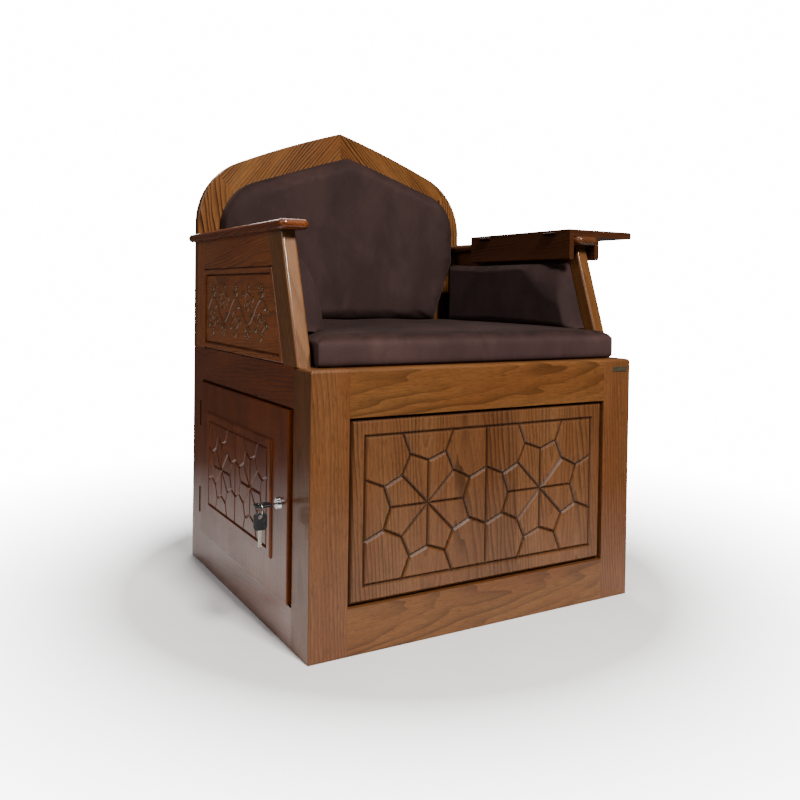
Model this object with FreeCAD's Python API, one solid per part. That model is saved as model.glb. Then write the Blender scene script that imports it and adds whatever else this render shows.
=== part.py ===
import FreeCAD, Part
import math
import os

# Reciter's armchair: a lockable box cabinet carries an upholstered seat with a keel-arched back,
# and a folding book table slides along the right armrest.
# Origin: centre of the base's underside. +X to the sitter's left (the table side), -Y front, +Z up.
# "left" and "right" in names are as seen from the front.

# Driving dimensions, mm
WIDTH = 760.0
DEPTH = 705.0
BASE_HEIGHT = 516.0
POST = 76.0                  # square corner posts and side rails
FRONT_TOP_RAIL = 88.0
FRONT_BOTTOM_RAIL = 86.0
RAIL_THICK = 25.0
DECK_THICK = 18.0
ARM_THICK = 30.0
ARMREST_UNDER = 769.0
ARMREST_THICK = 19.0
ARMREST_WIDTH = 62.0
ARMREST_OVERHANG = 14.0
ARMREST_FRONT = 117.0        # distance behind the base's front face
ARMREST_NOSE = 9.0
ARM_SLANT = 0.347            # how far the arm post leans back per unit of height
ARM_SETBACK = 60.0
ARM_POST_DEPTH = 65.0
ARM_PANEL_TOP = 702.0
ARM_BACK_POST = 55.0
ARM_BOARD_IN = 6.0           # the arm panel's sunk board behind the arm's outer face
ARM_BOARD_THICK = 16.0
BEAD_OUT = 1.5
BEAD_WIDTH = 11.0
ARM_FIELD_IN = 1.5           # the raised field behind the arm's outer face
ARM_PAD_THICK = 50.0
ARM_PAD_IN = 30.0            # the arm pad's front behind the arm post's front
PAD_GAP = 4.0
ARCH_THICK = 25.0
ARCH_WIDTH = 75.0
ARCH_APEX = 1072.0
ARCH_RADIUS = 170.0
ARCH_SLOPE = math.radians(19.6)
ARCH_RISE = 4.0              # how far the long edges bow outwards
BACK_BOARD = (10.0, 18.0)    # depths of the back board's faces behind the arch's front
PANEL_GAP = 3.0
DOOR_PROUD = 6.0
DOOR_THICK = 22.0
DOOR_FRONT_GAP = 10.0
DOOR_BACK_GAP = 8.0
DOOR_TOP_GAP = 4.0
DOOR_PANEL_LIFT = 4.0
DOOR_PANEL_SIZE = (401.0, 228.0)
DOOR_STILE_FRONT = 76.0
DOOR_RAIL_BOTTOM = 63.0
GROOVE = 9.0                 # mouth of the front panel's V grooves
GROOVE_BORDER = (34.0, 35.5) # from the front panel's opening to its outer groove, across and up
DOOR_GROOVE = 6.4
DOOR_GROOVE_BORDER = 19.0
PANEL_BEVEL = 7.0
PANEL_THICK = 17.0
PANEL_BACK_THICK = 7.0
PANEL_SUNK = 2.0             # the front panel's face behind the frame's face
TOP_ROUND = 7.0              # rounding of the base's upper front edge
CORNER_ROUND = 2.5
BACK_PANEL_THICK = 12.0
SIDE_BOARD = (18.0, 3.0)     # depths of the right side board's inner and outer faces
BADGE = (40.0, 10.0, 1.2)
BADGE_CORNER = (12.0, 489.5) # from the base's right edge, and its lower edge's height
CUSHION_GAP = 0.4
TABLE_LENGTH = 392.0
TABLE_WIDTH = 192.0
TABLE_FRONT = 133.0
LEAF_THICK = 7.8
SLIDE_GAP = 0.6
CHEEK_THICK = 13.0
CHEEK_BOTTOM = 735.0
LOCK_HEIGHT = 258.0
LOCK_RADIUS = 9.5

LEFT = -WIDTH / 2
RIGHT = WIDTH / 2
FRONT = -DEPTH / 2
BACK = DEPTH / 2
ARCH_FRONT = BACK - ARCH_THICK
ARMREST_TOP = ARMREST_UNDER + ARMREST_THICK

V = FreeCAD.Vector


def save(name, shape):
    """Write one node; a list becomes one compound of separate solids."""
    if isinstance(shape, list):
        shape = Part.makeCompound(shape)
    shape.exportStep("parts/" + name + ".step")


def box(x0, x1, y0, y1, z0, z1):
    return Part.makeBox(x1 - x0, y1 - y0, z1 - z0, V(x0, y0, z0))


def prism_yz(points, x0, x1):
    """Solid from an outline in (y, z), between two x planes."""
    wire = Part.makePolygon([V(x0, y, z) for y, z in points + points[:1]])
    return Part.Face(wire).extrude(V(x1 - x0, 0, 0))


def cylinder(radius, start, end):
    axis = end - start
    return Part.makeCylinder(radius, axis.Length, start, axis)


def round_edges(shape, radius, keep):
    """Fillet the edges for which keep(edge) is true."""
    return shape.makeFillet(radius, [e for e in shape.Edges if keep(e)])


def mirrored(shape):
    return shape.mirror(V(0, 0, 0), V(1, 0, 0))


def at_y(edge, y):
    """True for an edge lying in the plane at y."""
    return abs(edge.BoundBox.YMin - y) < 0.01 and abs(edge.BoundBox.YMax - y) < 0.01


# ---- carved panels: built flat in (u, v) with +w out of the face, then stood up ----

def stand_up(shape, origin, u_axis, out_axis):
    """Place a flat panel with u along u_axis, v along +Z and w along out_axis."""
    matrix = FreeCAD.Matrix(u_axis.x, 0, out_axis.x, origin.x,
                            u_axis.y, 0, out_axis.y, origin.y,
                            u_axis.z, 1, out_axis.z, origin.z,
                            0, 0, 0, 1)
    shape.Placement = FreeCAD.Placement(matrix)
    return shape


def groove(start, end, width, face):
    """A V-shaped cutter from one point to another, its mouth at height face."""
    run = V(end[0] - start[0], end[1] - start[1], 0)
    along = V(run).normalize()
    side = V(-along.y, along.x, 0)
    lift = 0.5
    reach = width * 0.3
    base = V(start[0], start[1], face) - along * reach
    half = width / 2 + lift
    corners = [base + side * half + V(0, 0, lift), base - side * half + V(0, 0, lift),
               base - V(0, 0, width / 2)]
    return Part.Face(Part.makePolygon(corners + corners[:1])).extrude(run + along * reach * 2)


def polar(centre, radius, degrees):
    angle = math.radians(degrees)
    return (centre[0] + radius * math.cos(angle), centre[1] + radius * math.sin(angle))


def rosette(centre, half_u, half_v, width, face):
    """Eight spokes inside a sixteen-sided star, and a ray from each outer point to the cell's border."""
    inner = 0.597 * half_v
    outer = 0.760 * half_v
    cutters = []
    for k in range(8):
        spoke = 45.0 * k
        point = spoke + 22.5
        tip = polar(centre, outer, point)
        cutters.append(groove(centre, polar(centre, inner, spoke), width, face))
        cutters.append(groove(polar(centre, inner, spoke), tip, width, face))
        cutters.append(groove(tip, polar(centre, inner, spoke + 45.0), width, face))
        cosine = abs(math.cos(math.radians(point)))
        sine = abs(math.sin(math.radians(point)))
        cutters.append(groove(tip, polar(centre, min(half_u / cosine, half_v / sine), point), width, face))
    return cutters


def carving(width_u, height_v, groove_width, face):
    """Cutters for two rosettes side by side in a grooved rectangle centred on the origin."""
    u = width_u / 2
    v = height_v / 2
    corners = [(-u, -v), (u, -v), (u, v), (-u, v)]
    cutters = [groove(corners[i], corners[(i + 1) % 4], groove_width, face) for i in range(4)]
    cutters.append(groove((0, -v), (0, v), groove_width, face))
    for side in (-1, 1):
        cutters += rosette((side * u / 2, 0), u / 2, v, groove_width, face)
    return cutters


def raised_board(size, thick, bevel):
    """A flat board on w = 0 with its upper edges bevelled."""
    board = Part.makeBox(size[0], size[1], thick, V(-size[0] / 2, -size[1] / 2, 0))
    edges = [e for e in board.Edges if e.BoundBox.ZMin > thick - 0.01]
    return board.makeChamfer(bevel, edges)


def front_panel():
    """A carved board in the front opening: a thin back that fills it and a bevelled field just inside it."""
    width = WIDTH - 2 * POST
    height = BASE_HEIGHT - FRONT_TOP_RAIL - FRONT_BOTTOM_RAIL
    back = Part.makeBox(width, height, PANEL_BACK_THICK, V(-width / 2, -height / 2, 0))
    field = raised_board((width - 2 * PANEL_GAP, height - 2 * PANEL_GAP), PANEL_THICK, PANEL_BEVEL)
    carved = carving(width - 2 * GROOVE_BORDER[0], height - 2 * GROOVE_BORDER[1], GROOVE, PANEL_THICK)
    panel = back.fuse(field).cut(carved)
    middle = V(0, FRONT + PANEL_SUNK + PANEL_THICK, FRONT_BOTTOM_RAIL + height / 2)
    return stand_up(panel, middle, V(1, 0, 0), V(0, -1, 0))


def small_carved_panel(thick):
    """The two-rosette panel of the door and of the right side."""
    width, height = DOOR_PANEL_SIZE
    border = 2 * DOOR_GROOVE_BORDER
    return raised_board(DOOR_PANEL_SIZE, thick, 3.0).cut(
        carving(width - border, height - border, DOOR_GROOVE, thick))


# ---- base cabinet ----

def upper_front_edge(edge):
    return at_y(edge, FRONT) and edge.BoundBox.ZMin > BASE_HEIGHT - 0.01


def corner_post(corner_x, corner_y):
    """A square post with its outer corner rounded; a front post's upper front edge is rounded too."""
    x0 = corner_x if corner_x < 0 else corner_x - POST
    y0 = corner_y if corner_y < 0 else corner_y - POST
    post = box(x0, x0 + POST, y0, y0 + POST, 0, BASE_HEIGHT)

    def outer_corner(edge):
        b = edge.BoundBox
        upright = b.ZLength > BASE_HEIGHT - 1
        return upright and abs(b.XMin - corner_x) < 0.01 and abs(b.YMin - corner_y) < 0.01
    post = round_edges(post, CORNER_ROUND, outer_corner)
    if corner_y == FRONT:
        post = round_edges(post, TOP_ROUND, upper_front_edge)
    return post


def corner_posts(hinge_screws):
    for name, x in (("left", LEFT), ("right", RIGHT)):
        for place, y in (("front", FRONT), ("back", BACK)):
            save("post_" + place + "_" + name, corner_post(x, y).cut(hinge_screws))


def side_rails():
    y0 = FRONT + POST
    y1 = BACK - POST
    for name, x0 in (("left", LEFT), ("right", RIGHT - RAIL_THICK)):
        save(name + "_top_rail", box(x0, x0 + RAIL_THICK, y0, y1, BASE_HEIGHT - POST, BASE_HEIGHT))
        save(name + "_bottom_rail", box(x0, x0 + RAIL_THICK, y0, y1, 0, POST))


def front_rails():
    x0 = LEFT + POST
    x1 = RIGHT - POST
    y1 = FRONT + RAIL_THICK
    top = box(x0, x1, FRONT, y1, BASE_HEIGHT - FRONT_TOP_RAIL, BASE_HEIGHT)
    save("front_top_rail", round_edges(top, TOP_ROUND, upper_front_edge))
    save("front_bottom_rail", box(x0, x1, FRONT, y1, 0, FRONT_BOTTOM_RAIL))


def notched_board(z0, z1):
    """A board inside the rails, notched round the four corner posts."""
    edge = RAIL_THICK
    board = box(LEFT + edge, RIGHT - edge, FRONT + edge, BACK - BACK_PANEL_THICK, z0, z1)
    posts = []
    for x0 in (LEFT, RIGHT - POST):
        for y0 in (FRONT, BACK - POST):
            posts.append(box(x0, x0 + POST, y0, y0 + POST, z0 - 1, z1 + 1))
    return board.cut(posts)


def base_boards():
    save("bottom_panel", notched_board(0, DECK_THICK))
    save("seat_deck", notched_board(BASE_HEIGHT - DECK_THICK, BASE_HEIGHT))
    save("base_back_panel",
         box(LEFT + POST, RIGHT - POST, BACK - BACK_PANEL_THICK, BACK, 0, BASE_HEIGHT))


def right_side_panel():
    """A fixed board in the right side's frame, with the same raised carved field as the door."""
    inner, outer = SIDE_BOARD
    board = box(RIGHT - inner, RIGHT - outer, FRONT + POST, BACK - POST, POST, BASE_HEIGHT - POST)
    middle_y = (DOOR_PANEL_Y[0] + DOOR_PANEL_Y[1]) / 2
    middle_z = DOOR_PANEL_Z + DOOR_PANEL_SIZE[1] / 2
    field = stand_up(small_carved_panel(6.0), V(RIGHT - outer - 1, middle_y, middle_z),
                     V(0, 1, 0), V(1, 0, 0))
    return board.fuse(field)


def badge_plate():
    """A blank metal plate on the right front post's top."""
    width, height, thick = BADGE
    x1 = RIGHT - BADGE_CORNER[0]
    return box(x1 - width, x1, FRONT - thick, FRONT, BADGE_CORNER[1], BADGE_CORNER[1] + height)


# ---- side door ----

DOOR_Y0 = FRONT + POST + DOOR_FRONT_GAP
DOOR_Y1 = BACK - POST - DOOR_BACK_GAP
DOOR_Z0 = POST + DOOR_TOP_GAP
DOOR_Z1 = BASE_HEIGHT - POST - DOOR_TOP_GAP
DOOR_FACE = LEFT - DOOR_PROUD
DOOR_INSIDE = DOOR_FACE + DOOR_THICK
DOOR_PANEL_Y = (DOOR_Y0 + DOOR_STILE_FRONT, DOOR_Y0 + DOOR_STILE_FRONT + DOOR_PANEL_SIZE[0])
DOOR_PANEL_Z = DOOR_Z0 + DOOR_RAIL_BOTTOM
LOCK_Y = DOOR_Y0 + DOOR_STILE_FRONT / 2
HINGE_AXIS = (LEFT - 4.0, BACK - POST - DOOR_BACK_GAP / 2)
KNUCKLE_RADIUS = 3.6
HINGE_PIN_RADIUS = 1.6
HINGE_RUNNING_GAP = 0.06
HINGE_LENGTH = 60.0
HINGE_FROM_END = 45.0        # from the door's upper and lower edges to its hinges
HINGE_HEIGHTS = (DOOR_Z0 + HINGE_FROM_END, DOOR_Z1 - HINGE_FROM_END - HINGE_LENGTH)
HINGE_PLATE = 1.6
HINGE_REACH = 14.0           # how far a hinge plate goes in from its knuckles
HINGE_KNUCKLES = 5
KNUCKLE_GAP = 0.15           # air at each end of a knuckle
SCREW_FROM_END = 12.0
SCREW_SHANK = 12.0
SCREW_RADIUS = 1.2
SCREW_HEAD_RADIUS = 2.4


def door_board():
    board = box(DOOR_FACE, DOOR_INSIDE, DOOR_Y0, DOOR_Y1, DOOR_Z0, DOOR_Z1)

    def face_edge(edge):
        b = edge.BoundBox
        return b.XMax < DOOR_FACE + 0.01
    board = round_edges(board, 2.0, face_edge)
    lock_hole = cylinder(LOCK_RADIUS, V(DOOR_FACE - 1, LOCK_Y, LOCK_HEIGHT),
                         V(DOOR_INSIDE + 1, LOCK_Y, LOCK_HEIGHT))
    return board.cut(lock_hole)


def door_panel():
    middle_y = (DOOR_PANEL_Y[0] + DOOR_PANEL_Y[1]) / 2
    middle_z = DOOR_PANEL_Z + DOOR_PANEL_SIZE[1] / 2
    return stand_up(small_carved_panel(DOOR_PANEL_LIFT), V(DOOR_FACE, middle_y, middle_z),
                    V(0, -1, 0), V(-1, 0, 0))


def door_stop():
    """A strip behind the door's front edge: the door closes on it and the cam turns behind it."""
    return box(DOOR_INSIDE + 0.5, DOOR_INSIDE + 12.5, FRONT + POST, LOCK_Y - LOCK_RADIUS - 9,
               POST, BASE_HEIGHT - POST)


def knuckle_ends(z0, chosen):
    """The lower and upper centre points of a door hinge's chosen knuckles."""
    x, y = HINGE_AXIS
    pitch = HINGE_LENGTH / HINGE_KNUCKLES
    return [(V(x, y, z0 + i * pitch + KNUCKLE_GAP), V(x, y, z0 + (i + 1) * pitch - KNUCKLE_GAP))
            for i in chosen]


def door_hinge_leaf(z0, chosen, plate_y0, plate_y1, bore):
    """One leaf: a plate beside its knuckles, with a tab out to each knuckle."""
    plate_x = LEFT + 0.2
    leaf = box(plate_x, plate_x + HINGE_REACH, plate_y0, plate_y1, z0, z0 + HINGE_LENGTH)
    tubes = knuckle_ends(z0, chosen)
    for low, high in tubes:
        leaf = leaf.fuse(cylinder(KNUCKLE_RADIUS, low, high))
        leaf = leaf.fuse(box(HINGE_AXIS[0], plate_x + 0.1, plate_y0, plate_y1, low.z, high.z))
    for low, high in tubes:
        leaf = leaf.cut(cylinder(bore, low - V(0, 0, 1), high + V(0, 0, 1)))
    return leaf


def hinge_screw(start, inward):
    """A countersunk screw: its head flush with start and its shank going inward."""
    sink = SCREW_HEAD_RADIUS - SCREW_RADIUS
    head = Part.makeCone(SCREW_HEAD_RADIUS, SCREW_RADIUS, sink, start, inward)
    shank = Part.makeCylinder(SCREW_RADIUS, SCREW_SHANK, start + inward * sink, inward)
    return head.fuse(shank)


def door_hinges():
    """Two butt hinges in the gap behind the door: leaves, pins and screws."""
    post_leaves = []
    door_leaves = []
    pins = []
    post_screws = []
    door_screws = []
    y_post = BACK - POST
    for z0 in HINGE_HEIGHTS:
        post_leaf = door_hinge_leaf(z0, (0, 2, 4), y_post - HINGE_PLATE, y_post, HINGE_PIN_RADIUS)
        door_leaf = door_hinge_leaf(z0, (1, 3), DOOR_Y1, DOOR_Y1 + HINGE_PLATE,
                                    HINGE_PIN_RADIUS + HINGE_RUNNING_GAP)
        for z in (z0 + SCREW_FROM_END, z0 + HINGE_LENGTH - SCREW_FROM_END):
            x = LEFT + 8.5
            post_screw = hinge_screw(V(x, y_post - HINGE_PLATE, z), V(0, 1, 0))
            door_screw = hinge_screw(V(x, DOOR_Y1 + HINGE_PLATE, z), V(0, -1, 0))
            post_leaf = post_leaf.cut(post_screw)
            door_leaf = door_leaf.cut(door_screw)
            post_screws.append(post_screw)
            door_screws.append(door_screw)
        post_leaves.append(post_leaf)
        door_leaves.append(door_leaf)
        axis_low = V(HINGE_AXIS[0], HINGE_AXIS[1], z0)
        pins.append(cylinder(HINGE_PIN_RADIUS, axis_low, axis_low + V(0, 0, HINGE_LENGTH)))
    save("hinge_post_leaves", post_leaves)
    save("hinge_door_leaves", door_leaves)
    save("hinge_pins", pins)
    save("hinge_post_screws", post_screws)
    save("hinge_door_screws", door_screws)
    return post_screws, door_screws


# ---- cam lock, keys and ring ----

PLUG_RADIUS = 6.5
KEY_THICK = 2.0
KEY_WIDTH = 7.0
BOW = 26.0
BOW_LENGTH = 32.0
BOW_THICK = 4.4
BOW_HOLE = 4.6
BLADE_LENGTH = 20.0
BEZEL_THICK = 6.5
CAM_THICK = 2.5
BARREL_END = DOOR_INSIDE + 8.0
CAM_X = BARREL_END + 4.8
NECK_RADIUS = 4.0            # of the plug where it carries the cam
BOW_HOLE_AT = 0.75           # the hole's place along the bow
KEY_NECK = 10.0              # bare metal between the lock and the bow
BOW_X = DOOR_FACE - BEZEL_THICK - KEY_NECK
KEY_NOTCHES = 4
NOTCH_PITCH = 4.0
RING_RADIUS = 11.8
RING_WIRE = 0.9
KEY_CLEARANCE = 0.25
RING_PLAY = 0.4              # air between the ring's lowest wire and the spare key's hole


def lock_body():
    centre = V(DOOR_FACE, LOCK_Y, LOCK_HEIGHT)
    bezel = Part.makeCone(11.5, 9.8, BEZEL_THICK, centre, V(-1, 0, 0))
    barrel = cylinder(LOCK_RADIUS - 0.1, centre, V(BARREL_END, LOCK_Y, LOCK_HEIGHT))
    mouth = centre - V(BEZEL_THICK + 1, 0, 0)
    bore = cylinder(PLUG_RADIUS + 0.08, mouth, V(BARREL_END + 1, LOCK_Y, LOCK_HEIGHT))
    return bezel.fuse(barrel).cut(bore)


def lock_nut():
    start = V(DOOR_INSIDE, LOCK_Y, LOCK_HEIGHT)
    corners = []
    for k in range(6):
        y, z = polar((LOCK_Y, LOCK_HEIGHT), 14.0, 60.0 * k)
        corners.append(V(start.x, y, z))
    nut = Part.Face(Part.makePolygon(corners + corners[:1])).extrude(V(4, 0, 0))
    return nut.cut(cylinder(LOCK_RADIUS - 0.1, start - V(1, 0, 0), start + V(6, 0, 0)))


def keyway(extra):
    """The slot of the key's blade, wider by extra on every side."""
    x0 = DOOR_FACE - BEZEL_THICK - 5
    x1 = DOOR_FACE - BEZEL_THICK + BLADE_LENGTH + extra
    half_w = KEY_WIDTH / 2 + extra
    half_t = KEY_THICK / 2 + extra
    return box(x0, x1, LOCK_Y - half_w, LOCK_Y + half_w, LOCK_HEIGHT - half_t, LOCK_HEIGHT + half_t)


def lock_plug():
    """The turning plug, slotted for the key, with a thinner neck out to the cam."""
    start = V(DOOR_FACE - BEZEL_THICK, LOCK_Y, LOCK_HEIGHT)
    shoulder = V(BARREL_END + 0.2, LOCK_Y, LOCK_HEIGHT)
    plug = cylinder(PLUG_RADIUS, start, shoulder)
    neck = cylinder(NECK_RADIUS, shoulder, V(CAM_X, LOCK_Y, LOCK_HEIGHT))
    return plug.fuse(neck).cut(keyway(KEY_CLEARANCE))


def lock_cam():
    """A flat tongue on the plug's end: upright when unlocked, a quarter turn puts it behind the stop."""
    x1 = CAM_X + CAM_THICK
    hub = cylinder(9, V(CAM_X, LOCK_Y, LOCK_HEIGHT), V(x1, LOCK_Y, LOCK_HEIGHT))
    tongue = box(CAM_X, x1, LOCK_Y - 7, LOCK_Y + 7, LOCK_HEIGHT, LOCK_HEIGHT + 32)
    return hub.fuse(tongue)


def key_blade():
    """The metal blade of the key in the lock, from the bow to its tip in the plug."""
    x_tip = DOOR_FACE - BEZEL_THICK + BLADE_LENGTH
    half_w = KEY_WIDTH / 2
    half_t = KEY_THICK / 2
    blade = box(BOW_X, x_tip, LOCK_Y - half_w, LOCK_Y + half_w, LOCK_HEIGHT - half_t, LOCK_HEIGHT + half_t)
    for i in range(KEY_NOTCHES):
        notch_x = x_tip - NOTCH_PITCH * (i + 1)
        blade = blade.cut(box(notch_x - 1, notch_x + 1, LOCK_Y + half_w - 1.5, LOCK_Y + half_w + 1,
                              LOCK_HEIGHT - 2, LOCK_HEIGHT + 2))
    return blade


def bow(length, width, thick):
    """A flat rounded key bow in (x, y), growing from x = 0 towards -x, pierced near its outer end."""
    plate = Part.makeBox(length, width, thick, V(-length, -width / 2, -thick / 2))
    plate = plate.makeFillet(7.0, [e for e in plate.Edges if e.BoundBox.ZLength > thick - 0.01])
    rim = [e for e in plate.Edges if e.BoundBox.ZLength < 0.01]
    plate = plate.makeFillet(1.2, rim)
    hole = Part.makeCylinder(BOW_HOLE, thick + 2, V(-length * BOW_HOLE_AT, 0, -thick / 2 - 1))
    return plate.cut(hole)


def key_bow():
    shape = bow(BOW_LENGTH, BOW, BOW_THICK)
    shape.translate(V(BOW_X, LOCK_Y, LOCK_HEIGHT))
    return shape


RING_X = BOW_X - BOW_LENGTH * BOW_HOLE_AT
RING_PIVOT_Y = LOCK_Y - (BOW / 2 + BOW_HOLE) / 2
RING_DROP = 4.0
RING_CENTRE = V(RING_X, RING_PIVOT_Y, LOCK_HEIGHT - RING_DROP)


def key_ring():
    return Part.makeTorus(RING_RADIUS, RING_WIRE, RING_CENTRE, V(1, 0, 0))


def spare_key():
    """The spare key hangs on the ring's lowest point, its bow square to the wire there."""
    hole_z = RING_CENTRE.z - RING_RADIUS + RING_WIRE + RING_PLAY - BOW_HOLE
    low = hole_z - BOW_LENGTH * BOW_HOLE_AT
    turned = bow(BOW_LENGTH, BOW, BOW_THICK)
    turned.rotate(V(0, 0, 0), V(1, 0, 0), 90)
    turned.rotate(V(0, 0, 0), V(0, 1, 0), 90)
    turned.translate(V(RING_X, RING_PIVOT_Y, low))
    half_w = KEY_WIDTH / 2
    half_t = KEY_THICK / 2
    tip = low - BLADE_LENGTH - KEY_NECK
    blade = box(RING_X - half_w, RING_X + half_w, RING_PIVOT_Y - half_t, RING_PIVOT_Y + half_t, tip, low)
    for i in range(KEY_NOTCHES):
        notch_z = tip + NOTCH_PITCH * (i + 1)
        blade = blade.cut(box(RING_X + half_w - 1.5, RING_X + half_w + 1, RING_PIVOT_Y - 2,
                              RING_PIVOT_Y + 2, notch_z - 1, notch_z + 1))
    return turned, blade


def lock_and_keys():
    save("lock_body", lock_body())
    save("lock_nut", lock_nut())
    save("lock_plug", lock_plug())
    save("lock_cam", lock_cam())
    save("key_blade", key_blade())
    save("key_bow", key_bow())
    save("key_ring", key_ring())
    spare_bow, spare_blade = spare_key()
    save("spare_key_bow", spare_bow)
    save("spare_key_blade", spare_blade)


# ---- arms ----

def post_front_y(z):
    """The arm post's leaning front edge at a height."""
    return FRONT + ARM_SETBACK + ARM_SLANT * (z - BASE_HEIGHT)


def arm_post():
    low = post_front_y(BASE_HEIGHT)
    high = post_front_y(ARMREST_UNDER)
    outline = [(low, BASE_HEIGHT), (low + ARM_POST_DEPTH, BASE_HEIGHT),
               (high + ARM_POST_DEPTH, ARMREST_UNDER), (high, ARMREST_UNDER)]
    post = prism_yz(outline, LEFT, LEFT + ARM_THICK)

    def leaning_front(edge):
        b = edge.BoundBox
        return b.ZLength > 200 and b.YMin < low + 1
    return round_edges(post, 5.0, leaning_front)


def arm_opening():
    """The trapezium between arm post, back post, top rail and base, as (y, z) points."""
    back = ARCH_FRONT - ARM_BACK_POST
    return [(post_front_y(BASE_HEIGHT) + ARM_POST_DEPTH, BASE_HEIGHT), (back, BASE_HEIGHT),
            (back, ARM_PANEL_TOP), (post_front_y(ARM_PANEL_TOP) + ARM_POST_DEPTH, ARM_PANEL_TOP)]


def inset(points, distance):
    """Offset a polygon inwards (points run anticlockwise)."""
    count = len(points)
    result = []
    for i in range(count):
        y0, z0 = points[i - 1]
        y1, z1 = points[i]
        y2, z2 = points[(i + 1) % count]
        a = V(y1 - y0, z1 - z0, 0).normalize()
        b = V(y2 - y1, z2 - z1, 0).normalize()
        normal_a = V(-a.y, a.x, 0)
        normal_b = V(-b.y, b.x, 0)
        middle = normal_a + normal_b
        step = middle * (distance * 2 / middle.dot(middle))
        result.append((y1 + step.x, z1 + step.y))
    return result


def arm_panel():
    """The side panel: a sunk board with a bead moulding round it and a slightly raised field."""
    opening = arm_opening()
    face = LEFT + ARM_BOARD_IN
    board = prism_yz(opening, face, face + ARM_BOARD_THICK)
    bead = prism_yz(inset(opening, 2), LEFT - BEAD_OUT, face)
    bead = bead.makeFillet(2.5, [e for e in bead.Edges if e.BoundBox.XMax < LEFT - BEAD_OUT + 0.1])
    hollow = prism_yz(inset(opening, 2 + BEAD_WIDTH), LEFT - 2 * BEAD_OUT, face)
    field = prism_yz(inset(opening, 5 + BEAD_WIDTH), LEFT + ARM_FIELD_IN, face)
    field = field.makeChamfer(2.0, [e for e in field.Edges if e.BoundBox.XMax < LEFT + ARM_FIELD_IN + 0.1])
    return board.fuse(bead.cut(hollow)).fuse(field)


def arm_top_rail():
    back = ARCH_FRONT - ARM_BACK_POST
    outline = [(post_front_y(ARM_PANEL_TOP) + ARM_POST_DEPTH, ARM_PANEL_TOP), (back, ARM_PANEL_TOP),
               (back, ARMREST_UNDER), (post_front_y(ARMREST_UNDER) + ARM_POST_DEPTH, ARMREST_UNDER)]
    return prism_yz(outline, LEFT, LEFT + ARM_THICK)


def arm_back_post():
    return box(LEFT, LEFT + ARM_THICK, ARCH_FRONT - ARM_BACK_POST, ARCH_FRONT, BASE_HEIGHT, ARMREST_UNDER)


def armrest():
    """A board with rounded edges and front corners, notched round the arch frame at the back."""
    x0 = LEFT - ARMREST_OVERHANG
    x1 = x0 + ARMREST_WIDTH
    y0 = FRONT + ARMREST_FRONT
    y1 = BACK + 5
    board = box(x0, x1, y0, y1, ARMREST_UNDER, ARMREST_TOP)
    corners = [e for e in board.Edges
               if e.BoundBox.ZLength > ARMREST_THICK - 0.01 and e.BoundBox.YMax < y0 + 0.01]
    board = board.makeFillet(14.0, corners)

    def long_rim(edge):
        b = edge.BoundBox
        return b.ZLength < 0.01 and (b.YMax < y1 - 0.01 or b.YLength > 400)
    board = round_edges(board, ARMREST_NOSE, long_rim)
    return board.cut(box(LEFT, x1 + 1, ARCH_FRONT, y1 + 1, ARMREST_UNDER - 1, ARMREST_TOP + 1))


def arm_cushion():
    """A plain pad inside the arm, its front leaning with the post."""
    low = SEAT_TOP + 1
    high = CHEEK_BOTTOM - PAD_GAP
    back = BACK_CUSHION_FRONT - PAD_GAP
    outline = [(post_front_y(low) + ARM_PAD_IN, low), (back, low), (back, high),
               (post_front_y(high) + ARM_PAD_IN, high)]
    inner_x = LEFT + ARM_THICK + ARM_PAD_THICK
    pad = prism_yz(outline, LEFT + ARM_THICK + CUSHION_GAP, inner_x)
    inner = [e for e in pad.Edges if e.BoundBox.XMin > inner_x - 1]
    return pad.makeFillet(14.0, inner)


def arms():
    for name, build in (("arm_post", arm_post), ("arm_panel", arm_panel), ("arm_top_rail", arm_top_rail),
                        ("arm_back_post", arm_back_post), ("armrest", armrest),
                        ("arm_cushion", arm_cushion)):
        shape = build()
        save(name + "_left", shape)
        save(name + "_right", mirrored(shape))


# ---- back and seat ----

BACK_CUSHION_THICK = 64.0
BACK_CUSHION_FRONT = ARCH_FRONT - BACK_CUSHION_THICK
SEAT_TOP = BASE_HEIGHT + 58.0
SEAT_PAD_IN = 25.0           # the seat pad's front behind the base's face
BACK_PAD_HALF = 328.0
BACK_PAD_FOOT = 255.0        # half width where it meets the seat
BACK_PAD_WAIST = 740.0       # height at which it reaches its full width
BACK_PAD_RADIUS = 114.0
BACK_PAD_APEX = 1000.0
BACK_PAD_SLOPE = math.radians(18.0)


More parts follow.
